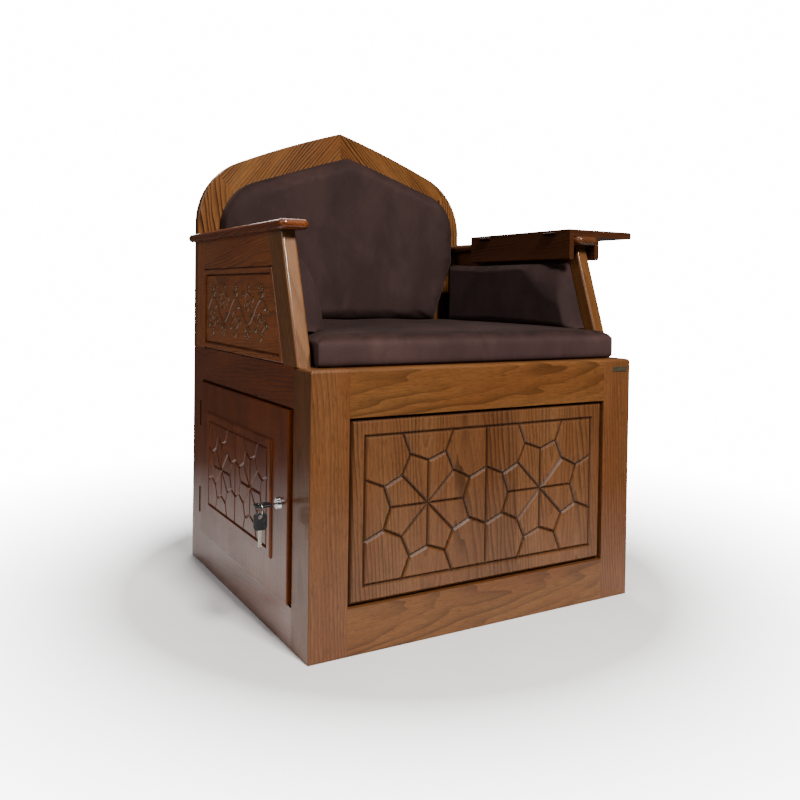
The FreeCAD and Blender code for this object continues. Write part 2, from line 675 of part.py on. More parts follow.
def keel_arch(half, radius, apex, slope, rise, foot):
    """A closed outline at y = 0: upright sides, round shoulders and long edges rising to a point.
    foot lists the (x, z) points of its lower right side, from the bottom up."""
    shoulder_z = apex - half * math.tan(slope)
    reach = radius * math.tan((math.pi / 2 - slope) / 2)
    spring = shoulder_z - reach
    end = V(half - reach * math.cos(slope), 0, shoulder_z + reach * math.sin(slope))
    middle_angle = (math.pi / 2 - slope) / 2
    middle = V(half - radius + radius * math.cos(middle_angle), 0, spring + radius * math.sin(middle_angle))
    top = V(0, 0, apex)
    bowed = (end + top) * 0.5 + V(math.sin(slope), 0, math.cos(slope)) * rise
    right = [V(x, 0, z) for x, z in foot] + [V(half, 0, spring)]

    def flip(p):
        return V(-p.x, 0, p.z)
    edges = [Part.LineSegment(a, b).toShape() for a, b in zip(right, right[1:])]
    edges.append(Part.Arc(right[-1], middle, end).toShape())
    edges.append(Part.Arc(end, bowed, top).toShape())
    edges.append(Part.Arc(top, flip(bowed), flip(end)).toShape())
    edges.append(Part.Arc(flip(end), flip(middle), flip(right[-1])).toShape())
    left = [flip(p) for p in reversed(right)]
    edges += [Part.LineSegment(a, b).toShape() for a, b in zip(left, left[1:])]
    edges.append(Part.LineSegment(left[-1], right[0]).toShape())
    return Part.Face(Part.Wire(edges))


def slab(face, y0, y1):
    solid = face.extrude(V(0, y1 - y0, 0))
    solid.translate(V(0, y0, 0))
    return solid


def arch_frame():
    """Two stiles and two heads, mitred at the apex and jointed at 45 degrees on each shoulder."""
    inner_half = WIDTH / 2 - ARCH_WIDTH
    inner_apex = ARCH_APEX - ARCH_WIDTH / math.cos(ARCH_SLOPE)
    outer = keel_arch(WIDTH / 2, ARCH_RADIUS, ARCH_APEX, ARCH_SLOPE, ARCH_RISE,
                      [(WIDTH / 2, BASE_HEIGHT)])
    inner = keel_arch(inner_half, ARCH_RADIUS - ARCH_WIDTH, inner_apex, ARCH_SLOPE, ARCH_RISE,
                      [(inner_half, BASE_HEIGHT)])
    frame = slab(outer, ARCH_FRONT, BACK)
    rim = [e for e in frame.Edges if at_y(e, ARCH_FRONT) and e.BoundBox.ZMax > BASE_HEIGHT + 1]
    frame = frame.makeChamfer(2.0, rim)
    frame = frame.cut(slab(inner, ARCH_FRONT - 5, BACK + 5))
    left_half = frame.common(box(LEFT - 9, 0, ARCH_FRONT - 9, BACK + 9, BASE_HEIGHT, ARCH_APEX + 9))
    centre_x = LEFT + ARCH_RADIUS
    shoulder_z = ARCH_APEX - WIDTH / 2 * math.tan(ARCH_SLOPE)
    centre_z = shoulder_z - ARCH_RADIUS * math.tan((math.pi / 2 - ARCH_SLOPE) / 2)
    far = 400.0
    below = [V(centre_x, ARCH_FRONT - 5, centre_z), V(centre_x - far, ARCH_FRONT - 5, centre_z + far),
             V(centre_x - far, ARCH_FRONT - 5, centre_z - far), V(centre_x, ARCH_FRONT - 5, centre_z - far)]
    knife = Part.Face(Part.makePolygon(below + below[:1])).extrude(V(0, ARCH_THICK + 10, 0))
    stile = left_half.common(knife)
    head = left_half.cut(knife)
    board = slab(inner, ARCH_FRONT + BACK_BOARD[0], ARCH_FRONT + BACK_BOARD[1])
    return stile, head, board


def back_cushion():
    """A plain pad with the arch's outline, drawn in at the foot between the arm cushions."""
    foot = [(BACK_PAD_FOOT, SEAT_TOP + 1), (BACK_PAD_HALF, BACK_PAD_WAIST)]
    face = keel_arch(BACK_PAD_HALF, BACK_PAD_RADIUS, BACK_PAD_APEX, BACK_PAD_SLOPE, 3.0, foot)
    pad = slab(face, BACK_CUSHION_FRONT, ARCH_FRONT - CUSHION_GAP)
    rim = [e for e in pad.Edges if at_y(e, BACK_CUSHION_FRONT)]
    return pad.makeFillet(18.0, rim)


def seat_cushion():
    side = ARM_THICK + 1.0
    pad = box(LEFT + side, RIGHT - side, FRONT + SEAT_PAD_IN, ARCH_FRONT - PAD_GAP,
              BASE_HEIGHT + 0.2, SEAT_TOP)
    top = [e for e in pad.Edges if e.BoundBox.ZMin > SEAT_TOP - 0.01]
    return pad.makeFillet(14.0, top)


def back_and_seat():
    stile, head, board = arch_frame()
    save("arch_stile_left", stile)
    save("arch_stile_right", mirrored(stile))
    save("arch_head_left", head)
    save("arch_head_right", mirrored(head))
    save("back_board", board)
    save("back_cushion", back_cushion())
    save("seat_cushion", seat_cushion())


# ---- sliding folding table on the right armrest ----

ARMREST_INNER_X = RIGHT + ARMREST_OVERHANG - ARMREST_WIDTH
ARMREST_OUTER_X = RIGHT + ARMREST_OVERHANG
TABLE_X0 = ARMREST_INNER_X - SLIDE_GAP - CHEEK_THICK
TABLE_X1 = TABLE_X0 + TABLE_WIDTH
TABLE_Y0 = FRONT + TABLE_FRONT
TABLE_Y1 = TABLE_Y0 + TABLE_LENGTH
LEAF_Z0 = ARMREST_TOP + SLIDE_GAP
LEAF_Z1 = LEAF_Z0 + LEAF_THICK
UPPER_Z0 = LEAF_Z1 + 0.4
LEAF_AXIS = (TABLE_X0 - 3.4, (LEAF_Z1 + UPPER_Z0) / 2)
LEAF_KNUCKLE = 3.0
LEAF_PIN = 1.3
LEAF_HINGE_LENGTH = 45.0
LEAF_HINGE_FROM_END = 45.0
LEAF_HINGE_KNUCKLES = 3
LEAF_HINGE_X1 = TABLE_X0 + 14
LEAF_PLATE = 1.2


def cheek(x0, y0):
    side = box(x0, x0 + CHEEK_THICK, y0, TABLE_Y1, CHEEK_BOTTOM, LEAF_Z0)
    low = [e for e in side.Edges if e.BoundBox.ZMax < CHEEK_BOTTOM + 0.01 and e.BoundBox.YLength > 100]
    return side.makeChamfer(3.0, low)


def leaf_hinge_spots():
    return [TABLE_Y0 + LEAF_HINGE_FROM_END, TABLE_Y1 - LEAF_HINGE_FROM_END - LEAF_HINGE_LENGTH]


def leaf_hinge(chosen, plate_z0, bore):
    """One side of both table hinges: a plate let into the leaf and its knuckles along the edge."""
    parts = []
    pitch = LEAF_HINGE_LENGTH / LEAF_HINGE_KNUCKLES
    for y0 in leaf_hinge_spots():
        leaf = box(TABLE_X0 - 0.2, LEAF_HINGE_X1, y0, y0 + LEAF_HINGE_LENGTH, plate_z0, plate_z0 + LEAF_PLATE)
        for i in chosen:
            low = V(LEAF_AXIS[0], y0 + i * pitch + KNUCKLE_GAP, LEAF_AXIS[1])
            high = V(LEAF_AXIS[0], y0 + (i + 1) * pitch - KNUCKLE_GAP, LEAF_AXIS[1])
            leaf = leaf.fuse(cylinder(LEAF_KNUCKLE, low, high))
            leaf = leaf.fuse(box(LEAF_AXIS[0], TABLE_X0, low.y, high.y, plate_z0, plate_z0 + LEAF_PLATE))
            leaf = leaf.cut(cylinder(bore, low - V(0, 1, 0), high + V(0, 1, 0)))
        parts.append(leaf)
    return parts


def leaf_recess(z0):
    """The pockets that let the hinge plates into a leaf."""
    pockets = []
    for y0 in leaf_hinge_spots():
        pockets.append(box(TABLE_X0 - 1, LEAF_HINGE_X1, y0, y0 + LEAF_HINGE_LENGTH, z0, z0 + LEAF_PLATE))
    return pockets


def table():
    save("table_cheek_inner", cheek(TABLE_X0, TABLE_Y0))
    save("table_cheek_outer", cheek(ARMREST_OUTER_X + SLIDE_GAP, TABLE_Y0))
    lower = box(TABLE_X0, TABLE_X1, TABLE_Y0, TABLE_Y1, LEAF_Z0, LEAF_Z1)
    upper = box(TABLE_X0, TABLE_X1, TABLE_Y0, TABLE_Y1, UPPER_Z0, UPPER_Z0 + LEAF_THICK)
    outer_top = [e for e in upper.Edges if e.BoundBox.ZMin > UPPER_Z0 + LEAF_THICK - 0.01
                 and e.BoundBox.XMax > TABLE_X0 + 1]
    upper = upper.makeChamfer(2.5, outer_top)
    lower_low = [e for e in lower.Edges if e.BoundBox.ZMax < LEAF_Z0 + 0.01
                 and e.BoundBox.XMin > TABLE_X1 - 0.01]
    lower = lower.makeChamfer(2.0, lower_low)
    save("table_lower_leaf", lower.cut(leaf_recess(LEAF_Z1 - LEAF_PLATE)))
    save("table_upper_leaf", upper.cut(leaf_recess(UPPER_Z0)))
    save("leaf_hinge_fixed", leaf_hinge((0, 2), LEAF_Z1 - LEAF_PLATE, LEAF_PIN))
    save("leaf_hinge_moving", leaf_hinge((1,), UPPER_Z0, LEAF_PIN + 0.06))
    pins = []
    for y0 in leaf_hinge_spots():
        start = V(LEAF_AXIS[0], y0, LEAF_AXIS[1])
        pins.append(cylinder(LEAF_PIN, start, start + V(0, LEAF_HINGE_LENGTH, 0)))
    save("leaf_hinge_pins", pins)


def main():
    os.makedirs("parts", exist_ok=True)
    post_screws, door_screws = door_hinges()
    corner_posts(post_screws)
    side_rails()
    front_rails()
    base_boards()
    save("front_panel", front_panel())
    save("right_side_panel", right_side_panel())
    save("badge_plate", badge_plate())
    save("door_stop", door_stop())
    save("door_panel", door_panel())
    save("door_board", door_board().cut(door_screws))
    lock_and_keys()
    arms()
    back_and_seat()
    table()


main()
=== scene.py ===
"""Looks of a reciter's armchair: lacquered walnut, brown velvet, a chromed lock and its keys."""

import math

import bmesh
import bpy
from mathutils import Matrix, Vector


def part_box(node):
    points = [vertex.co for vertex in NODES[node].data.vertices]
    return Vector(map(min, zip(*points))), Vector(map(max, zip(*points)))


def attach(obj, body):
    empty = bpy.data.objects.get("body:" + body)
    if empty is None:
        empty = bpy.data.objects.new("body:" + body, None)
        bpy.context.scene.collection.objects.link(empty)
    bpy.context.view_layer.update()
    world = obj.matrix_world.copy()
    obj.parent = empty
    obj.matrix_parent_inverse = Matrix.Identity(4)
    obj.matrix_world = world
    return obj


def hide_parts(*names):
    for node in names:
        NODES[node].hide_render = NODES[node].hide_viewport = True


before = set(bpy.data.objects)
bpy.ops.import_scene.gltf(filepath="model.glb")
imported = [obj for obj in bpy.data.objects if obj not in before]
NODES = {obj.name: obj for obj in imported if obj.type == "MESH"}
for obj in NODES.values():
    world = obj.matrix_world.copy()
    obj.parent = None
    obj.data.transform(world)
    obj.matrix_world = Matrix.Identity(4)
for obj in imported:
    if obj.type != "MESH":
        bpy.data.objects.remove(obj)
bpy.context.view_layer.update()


# ---- materials ----

class Shader:
    """One material's node tree, with short calls for adding nodes."""

    def __init__(self, name):
        self.material = bpy.data.materials.new(name)
        self.material.use_nodes = True
        self.tree = self.material.node_tree
        self.principled = self.tree.nodes["Principled BSDF"]

    def put(self, node, values):
        for key, value in values.items():
            socket = node.inputs[key]
            if isinstance(value, bpy.types.NodeSocket):
                self.tree.links.new(value, socket)
            else:
                socket.default_value = value

    def add(self, kind, values, **settings):
        node = self.tree.nodes.new("ShaderNode" + kind)
        for key, value in settings.items():
            setattr(node, key, value)
        self.put(node, values)
        return node

    def surface(self, **values):
        self.put(self.principled, {k.replace("_", " "): v for k, v in values.items()})

    def place(self):
        """The point on the piece, in the part's frame at rest."""
        return self.add("TexCoord", {}).outputs["Object"]

    def moved(self, vector, location=(0, 0, 0), rotation=(0, 0, 0), scale=(1, 1, 1)):
        mapping = self.add("Mapping", {"Vector": vector, "Location": location,
                                       "Rotation": rotation, "Scale": scale})
        return mapping.outputs["Vector"]

    def noise(self, vector, scale, detail=3.0, roughness=0.55, distortion=0.0):
        node = self.add("TexNoise", {"Vector": vector, "Scale": scale, "Detail": detail,
                                     "Roughness": roughness, "Distortion": distortion})
        return node.outputs["Fac"]

    def math(self, operation, a, b=0.0):
        return self.add("Math", {0: a, 1: b}, operation=operation).outputs[0]

    def remap(self, value, low, high, to_low=0.0, to_high=1.0):
        node = self.add("MapRange", {"Value": value, "From Min": low, "From Max": high,
                                     "To Min": to_low, "To Max": to_high})
        return node.outputs["Result"]

    def mix(self, factor, a, b, blend="MIX"):
        node = self.add("Mix", {0: factor, 6: a, 7: b}, data_type="RGBA", blend_type=blend)
        return node.outputs[2]

    def grey(self, value):
        return self.add("CombineColor", {0: value, 1: value, 2: value}).outputs[0]

    def ramp(self, value, stops):
        node = self.add("ValToRGB", {"Fac": value})
        elements = node.color_ramp.elements
        while len(elements) < len(stops):
            elements.new(0.5)
        for element, (position, colour) in zip(elements, stops):
            element.position = position
            element.color = colour
        return node.outputs["Color"]

    def bump(self, height, distance, strength=1.0, normal=None):
        values = {"Height": height, "Distance": distance, "Strength": strength}
        if normal is not None:
            values["Normal"] = normal
        return self.add("Bump", values).outputs["Normal"]


def rgb(r, g, b):
    """An 8-bit sRGB colour as linear RGBA."""
    def linear(c):
        c = c / 255
        return c / 12.92 if c <= 0.04045 else ((c + 0.055) / 1.055) ** 2.4
    return (linear(r), linear(g), linear(b), 1.0)


def shade(colour, factor):
    return tuple(c * factor for c in colour[:3]) + (1.0,)


GRAIN_TURN = {"x": (0, math.pi / 2, 0), "y": (math.pi / 2, 0, 0), "z": (0, 0, 0)}
WHOLE = 10.0                 # a board width larger than any piece: the piece is one board
PITH_TILT = math.radians(3.4)
PITH_ASIDE = 0.32            # its greatest distance sideways, as a share of the board's width
PITH_BEHIND = (0.034, 0.060) # its least and greatest distance behind the board's middle
ALONG_SPREAD = 3.0           # boards come from places up to this far apart along the trunk
GRAIN_STRETCH = 0.14         # the pattern's frequency along the grain, as a share of that across
RING_DRIFT = 0.026
RING_WAVER = 0.012
RING_WAVE = 0.314            # the wave texture's scale for rings a metre apart
LATEWOOD_POWER = 1.7
PORE_COLOUR = 0.28           # the tone in open pores, as a share of the board's colour
BLOOM = rgb(222, 190, 170)
CARVED_FRONT = "front_panel"
GROOVE_DEPTH = 0.0045
# colour of the painted shade in the carved grooves
GROOVE_PAINTED_SHADE = rgb(34, 18, 9)
LACQUER_IOR = 1.5


def glued_boards(s, at, wide, width, seed):
    """Split a piece into boards across its wide axis. Gives the point in the part's axes, the
    distance from each board's middle and a random number that is the same all over a board."""
    parts = s.add("SeparateXYZ", {0: at}).outputs
    scaled = s.math("ADD", s.math("DIVIDE", parts[wide], width), 0.5)
    index = s.math("FLOOR", scaled)
    local = s.math("MULTIPLY", s.math("SUBTRACT", s.math("SUBTRACT", scaled, index), 0.5), width)
    chance = s.add("TexWhiteNoise", {"W": s.math("ADD", index, seed * 1.37)}, noise_dimensions="1D")
    return parts, local, chance


def from_pith(s, low, high, grain, seed, width):
    """The point on a piece as seen from its board's pith, which lies a little behind the board;
    also the parts of the point from the piece's middle and the board's random numbers."""
    centre = (low + high) / 2
    size = high - low
    along_axis = "xyz".find(grain) if isinstance(grain, str) else 2
    thin, wide = sorted((a for a in range(3) if a != along_axis), key=lambda a: size[a])
    at = s.moved(s.place(), location=tuple(-centre))
    parts, local, chance = glued_boards(s, at, wide, width, seed)
    random = s.add("SeparateColor", {0: chance.outputs["Color"]}).outputs
    reach = PITH_ASIDE * min(width, size[wide])
    placed = [None, None, None]
    placed[wide] = s.math("ADD", local, s.remap(random[0], 0.0, 1.0, -reach, reach))
    placed[thin] = s.math("ADD", parts[thin], s.remap(random[1], 0.0, 1.0, *PITH_BEHIND))
    placed[along_axis] = s.math("ADD", parts[along_axis],
                                s.math("MULTIPLY", random[2], ALONG_SPREAD))
    point = s.add("CombineXYZ", {0: placed[0], 1: placed[1], 2: placed[2]}).outputs[0]
    return point, parts, random


def along_grain(s, point, grain):
    """The point with the grain along z. The pith is slightly tilted to the board, so that the faces
    show cathedral arches in the middle and straight lines at the edges."""
    if isinstance(grain, str):
        turn = GRAIN_TURN[grain]
    else:
        turn = Vector(grain).rotation_difference(Vector((0, 0, 1))).to_euler()
    turned = s.moved(point, rotation=tuple(turn))
    return s.moved(turned, rotation=(PITH_TILT, PITH_TILT * 0.5, 0))


def growth_rings(s, stretched, spacing):
    """Rings round the pith, 0 to 1 across each, that wander widely and waver finely."""
    drift = s.add("TexNoise", {"Vector": stretched, "Scale": 13.0, "Detail": 3.0, "Roughness": 0.5})
    shift = s.add("VectorMath", {0: drift.outputs["Color"], 1: (0.5, 0.5, 0.5)}, operation="SUBTRACT")
    wide = s.add("VectorMath", {0: shift.outputs[0], "Scale": RING_DRIFT}, operation="SCALE")
    slow = s.add("TexNoise", {"Vector": stretched, "Scale": 38.0, "Detail": 1.0, "Roughness": 0.5})
    fine = s.add("VectorMath", {0: slow.outputs["Color"], "Scale": RING_WAVER}, operation="SCALE")
    bent = s.add("VectorMath", {0: wide.outputs[0], 1: fine.outputs[0]}, operation="ADD")
    ringed = s.add("VectorMath", {0: stretched, 1: bent.outputs[0]}, operation="ADD").outputs[0]
    return s.add("TexWave", {"Vector": ringed, "Scale": RING_WAVE / spacing, "Distortion": 0.45,
                             "Detail": 2.0, "Detail Scale": 1.4, "Detail Roughness": 0.6},
                 wave_type="RINGS", rings_direction="Z", wave_profile="SAW").outputs["Fac"]


def late_wood(s, stretched, rings, fibre):
    """How dark the ring's late wood is, broken up by the fibre and stronger in some places."""
    line = s.math("MULTIPLY", s.math("POWER", rings, LATEWOOD_POWER),
                  s.remap(fibre, 0.25, 0.70, 1.20, 0.60))
    presence = s.remap(s.noise(stretched, 22.0, 2.0), 0.30, 0.66, 0.15, 1.25)
    return s.math("MULTIPLY", line, presence)


def painted_groove_shade(s, behind, toned):
    """Painted shade in the carved grooves: darker the further behind the board's front face."""
    return s.mix(s.remap(behind, 0.0006, GROOVE_DEPTH, 0.0, 0.85), toned, GROOVE_PAINTED_SHADE)


def wood(name, node, grain, colour, seed, contrast, coat, width, ring):
    """Lacquered walnut for one CAD node, grain along an axis name or a direction in the part's
    frame, glued from boards of a width, with a ring spacing."""
    s = Shader(name)
    low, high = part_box(node)
    point, parts, random = from_pith(s, low, high, grain, seed, width)
    board = along_grain(s, point, grain)
    stretched = s.moved(board, scale=(1.0, 1.0, GRAIN_STRETCH))
    rings = growth_rings(s, stretched, ring)
    fibre = s.noise(s.moved(board, scale=(1.0, 1.0, 0.03)), 420.0, 4.0, 0.65)
    pores = s.noise(s.moved(board, scale=(1.0, 1.0, 0.04)), 900.0, 2.0, 0.5)
    open_pores = s.remap(pores, 0.55, 0.68)
    ring_line = late_wood(s, stretched, rings, fibre)
    toned = s.ramp(ring_line, [
        (0.0, shade(colour, 1 + 0.22 * contrast)),
        (0.25, colour),
        (0.60, shade(colour, 1 - 0.50 * contrast)),
        (1.0, shade(colour, 1 - 0.76 * contrast))])
    streak = s.math("MULTIPLY", s.remap(fibre, 0.30, 0.72, 1.20, 0.80),
                    s.remap(random[1], 0.0, 1.0, 0.90, 1.10))
    toned = s.mix(1.0, toned, s.grey(streak), "MULTIPLY")
    cloud = s.noise(stretched, 14.0, 2.0)
    toned = s.mix(s.remap(cloud, 0.35, 0.70, 0.0, 0.6), toned, s.mix(1.0, toned, BLOOM, "MULTIPLY"))
    toned = s.mix(s.math("MULTIPLY", open_pores, 0.5), toned, shade(colour, PORE_COLOUR))
    # painted shade in the front panel's grooves
    if node == CARVED_FRONT:
        toned = painted_groove_shade(s, s.math("ADD", parts[1], (high.y - low.y) / 2), toned)
    height = s.math("ADD", s.math("MULTIPLY", open_pores, -0.7), s.math("MULTIPLY", ring_line, -0.5))
    handled = s.noise(s.place(), 7.0, 3.0)
    s.surface(Base_Color=toned, Roughness=s.remap(handled, 0.3, 0.7, 0.30, 0.42),
              Normal=s.bump(height, 0.00014, 0.7), Coat_Weight=coat, Coat_Roughness=0.10,
              Coat_IOR=LACQUER_IOR, Specular_IOR_Level=0.14)
    return s.material


SEAT_EDGE_PAINTED_LIGHT = 1.80       # painted highlight: pile below the seat pad's top edge is painted paler
SEAT_EDGE_Z = (0.560, 0.592)
PILE_DARK = rgb(41, 28, 27)
PILE = rgb(47, 33, 32)
PILE_PALE = rgb(55, 40, 38)
# tint of the painted shade on pile that faces up
PAINTED_SHADE_TINT = rgb(255, 222, 212)
SHEEN_TINT = rgb(205, 178, 165)


def velvet():
    """Short dense pile: brushed patches, a faint sheen and a fine nap. Pile that faces up gets painted
    shade, uneven in streaks and tinted redder; pile low on the seat pad gets a painted highlight."""
    s = Shader("velvet")
    at = s.place()
    patch = s.noise(at, 5.5, 3.0, 0.6, 0.6)
    brushed = s.noise(s.moved(at, scale=(1.0, 1.0, 0.45)), 17.0, 4.0, 0.6, 0.4)
    nap = s.noise(at, 900.0, 2.0, 0.6)
    tufts = s.noise(at, 2300.0, 1.0)
    blend = s.math("ADD", s.math("MULTIPLY", patch, 0.6), s.math("MULTIPLY", brushed, 0.4))
    colour = s.ramp(s.remap(blend, 0.38, 0.63), [
        (0.0, PILE_DARK), (0.5, PILE), (1.0, PILE_PALE)])
    grain = s.remap(nap, 0.3, 0.7, 0.82, 1.12)
    up = s.add("SeparateXYZ", {0: s.add("TexCoord", {}).outputs["Normal"]}).outputs[2]
    height = s.add("SeparateXYZ", {0: at}).outputs[2]
    # painted shade: pile that faces up is darkened, unevenly in streaks
    wear_and_shade = s.noise(s.moved(at, scale=(1.0, 2.2, 1.0)), 11.0, 4.0, 0.6, 0.8)
    flat = s.remap(up, 0.25, 0.95)
    # painted highlight: pile below the seat pad's top edge is painted paler
    edge = s.remap(height, SEAT_EDGE_Z[0], SEAT_EDGE_Z[1], SEAT_EDGE_PAINTED_LIGHT, 1.0)
    darker = s.math("MULTIPLY", flat, s.remap(wear_and_shade, 0.36, 0.64, 0.78, 0.42))
    nap_and_painted_light = s.math("MULTIPLY", s.math("MULTIPLY", grain, edge), s.math("SUBTRACT", 1.0, darker))
    colour = s.mix(1.0, colour, s.grey(nap_and_painted_light), "MULTIPLY")
    # painted shade: pile that faces up is also tinted redder
    colour = s.mix(flat, colour, s.mix(1.0, colour, PAINTED_SHADE_TINT, "MULTIPLY"))
    soft = s.bump(brushed, 0.0018, 0.5)
    normal = s.bump(s.math("ADD", nap, s.math("MULTIPLY", tufts, 0.5)), 0.0004, 0.55, soft)
    s.surface(Base_Color=colour, Roughness=s.remap(patch, 0.3, 0.7, 0.80, 0.92), Normal=normal,
              Sheen_Weight=0.05, Sheen_Roughness=0.42, Sheen_Tint=SHEEN_TINT,
              Specular_IOR_Level=0.14)
    return s.material


def metal(name, colour, rough, scratch_scale, stretch):
    """Plated or brushed metal: fine scratches, drawn out by stretch, and slight tarnish."""
    s = Shader(name)
    at = s.place()
    scratches = s.noise(s.moved(at, scale=stretch), scratch_scale, 3.0, 0.7)
    tarnish = s.noise(at, 90.0, 3.0)
    tinted = s.mix(s.remap(tarnish, 0.42, 0.72, 0.0, 0.5), colour, shade(colour, 0.62))
    s.surface(Base_Color=tinted, Metallic=1.0,
              Roughness=s.remap(scratches, 0.3, 0.7, rough * 0.75, rough * 1.35),
              Normal=s.bump(scratches, 0.00004, 0.5))
    return s.material


def moulded_plastic():
    """Black satin plastic, finely grained and a little greyer where it is handled."""
    s = Shader("moulded_plastic")
    at = s.place()
    spark = s.noise(at, 1400.0, 2.0)
    wear_and_shade = s.noise(at, 120.0, 3.0)
    colour = s.mix(s.remap(wear_and_shade, 0.45, 0.75, 0.0, 0.7), rgb(17, 17, 19), rgb(38, 38, 41))
    s.surface(Base_Color=colour, Roughness=s.remap(wear_and_shade, 0.3, 0.7, 0.34, 0.52),
              Normal=s.bump(spark, 0.00012, 0.6), Specular_IOR_Level=0.5)
    return s.material


WALNUT = rgb(99, 64, 33)
WALNUT_FIELD = rgb(94, 62, 37)
WALNUT_RED = rgb(97, 62, 35)
WALNUT_SIDE = rgb(104, 52, 20)
# painted light: a paler walnut for the left arm post and the vine relief, for the light and highlights
# they catch
WALNUT_PAINTED_LIGHT = rgb(118, 82, 50)
WALNUT_ARM = rgb(138, 80, 42)
WALNUT_ARCH = rgb(108, 71, 36)
# painted shade: a darker copy of the arm walnut for the right arm's pieces, which lie in shadow
WALNUT_PAINTED_SHADE = rgb(84, 50, 28)
TABLE_BROWN = rgb(66, 37, 20)
STAINED_BOARD = rgb(80, 50, 28)
CHROME = rgb(214, 214, 218)
NICKEL = rgb(205, 200, 188)
PALE_BRASS = rgb(214, 204, 168)
BRONZE = rgb(68, 43, 27)
ARM_LEAN = (0, 0.347, 1)     # the arm posts' direction
HEAD_LEAN = 1.15             # rise of the arch heads' grain for each unit sideways

# grain, colour, contrast, coat, glued board width, ring spacing, nodes
WOOD_PIECES = [
    ("z", WALNUT_RED, 0.45, 0.3, WHOLE, 0.0066, ["post_front_left", "post_front_right"]),
    ("z", WALNUT_SIDE, 0.7, 0.6, WHOLE, 0.0060, ["post_back_left", "post_back_right"]),
    ("x", WALNUT, 0.55, 0.22, WHOLE, 0.0085, ["front_top_rail", "front_bottom_rail"]),
    ("y", WALNUT_SIDE, 0.7, 0.65, WHOLE, 0.0060,
     ["left_top_rail", "left_bottom_rail", "right_top_rail", "right_bottom_rail"]),
    ("z", WALNUT_FIELD, 0.75, 0.22, 0.152, 0.0072, [CARVED_FRONT]),
    ("z", WALNUT_SIDE, 0.7, 0.44, 0.12, 0.0060,
     ["door_panel", "right_side_panel", "door_board", "door_stop"]),
    # the left arm post carries painted light
    (ARM_LEAN, WALNUT_PAINTED_LIGHT, 0.4, 0.4, WHOLE, 0.0090, ["arm_post_left"]),
    (ARM_LEAN, WALNUT, 0.4, 0.4, WHOLE, 0.0090, ["arm_post_right"]),
    ("y", WALNUT_ARM, 0.5, 0.6, 0.11, 0.0060, ["arm_panel_left", "arm_panel_right"]),
    ("y", WALNUT_ARM, 0.6, 0.5, WHOLE, 0.0060, ["arm_top_rail_left"]),
    # the right arm's rails, back post and armrest carry painted shade
    ("y", WALNUT_PAINTED_SHADE, 0.6, 0.5, WHOLE, 0.0060, ["arm_top_rail_right"]),
    ("z", WALNUT_ARM, 0.6, 0.5, WHOLE, 0.0060, ["arm_back_post_left"]),
    ("z", WALNUT_PAINTED_SHADE, 0.6, 0.5, WHOLE, 0.0060, ["arm_back_post_right"]),
    ("y", WALNUT_SIDE, 0.8, 0.7, WHOLE, 0.0060, ["armrest_left"]),
    ("y", WALNUT_PAINTED_SHADE, 0.8, 0.5, WHOLE, 0.0060, ["armrest_right"]),
    ("z", WALNUT_ARCH, 1.25, 0.3, WHOLE, 0.0070, ["arch_stile_left", "arch_stile_right"]),
    ((1, 0, HEAD_LEAN), WALNUT_ARCH, 1.25, 0.3, WHOLE, 0.0070, ["arch_head_left"]),
    ((-1, 0, HEAD_LEAN), WALNUT_ARCH, 1.25, 0.3, WHOLE, 0.0070, ["arch_head_right"]),
    ("y", TABLE_BROWN, 0.7, 0.35, WHOLE, 0.0052, ["table_cheek_inner", "table_cheek_outer"]),
    ("y", TABLE_BROWN, 0.7, 0.35, 0.10, 0.0052, ["table_lower_leaf", "table_upper_leaf"]),
    ("x", STAINED_BOARD, 0.5, 0.12, 0.14, 0.0052,
     ["bottom_panel", "seat_deck", "base_back_panel", "back_board"]),
]


def dress(names, material):
    for name in names:
        mesh = NODES[name].data
        mesh.materials.clear()
        mesh.materials.append(material)


def dress_frame():
    """Every CAD node that stays visible gets its finished material, each wooden one with its own
    seed."""
    seed = 0
    for grain, colour, contrast, coat, width, ring, names in WOOD_PIECES:
        for name in names:
            seed += 1
            dress([name], wood("wood_" + name, name, grain, colour, seed, contrast, coat, width, ring))
    dress(["lock_body", "lock_plug", "lock_nut", "lock_cam"],
          metal("chrome", CHROME, rough=0.14, scratch_scale=260.0, stretch=(1, 1, 1)))
    dress(["key_blade", "spare_key_blade", "key_ring"],
          metal("nickel", NICKEL, rough=0.26, scratch_scale=900.0, stretch=(1, 1, 0.12)))
    dress(["badge_plate"],
          metal("brushed_plate", PALE_BRASS, rough=0.30, scratch_scale=1500.0, stretch=(0.04, 1, 1)))
    dress(["hinge_post_leaves", "hinge_door_leaves", "hinge_pins", "hinge_post_screws",
           "hinge_door_screws", "leaf_hinge_fixed", "leaf_hinge_moving", "leaf_hinge_pins"],
          metal("bronzed", BRONZE, rough=0.55, scratch_scale=500.0, stretch=(1, 1, 0.3)))
    dress(["key_bow", "spare_key_bow"], moulded_plastic())


# ---- cushions ----

VOXEL = 0.006
SIM_FRAMES = 20
PRESSURE = 4.0


def copy_of(node, name):
    """A new mesh object with a CAD node's shape."""
    mesh = NODES[node].data.copy()
    piece = bpy.data.objects.new(name, mesh)
    bpy.context.scene.collection.objects.link(piece)
    return piece


def apply_modifier(piece, modifier):
    bpy.context.view_layer.objects.active = piece
    with bpy.context.temp_override(object=piece, active_object=piece, selected_objects=[piece]):
        bpy.ops.object.modifier_apply(modifier=modifier.name)


def remesh(piece):
    modifier = piece.modifiers.new("even", "REMESH")
    modifier.mode = "VOXEL"
    modifier.voxel_size = VOXEL
    apply_modifier(piece, modifier)


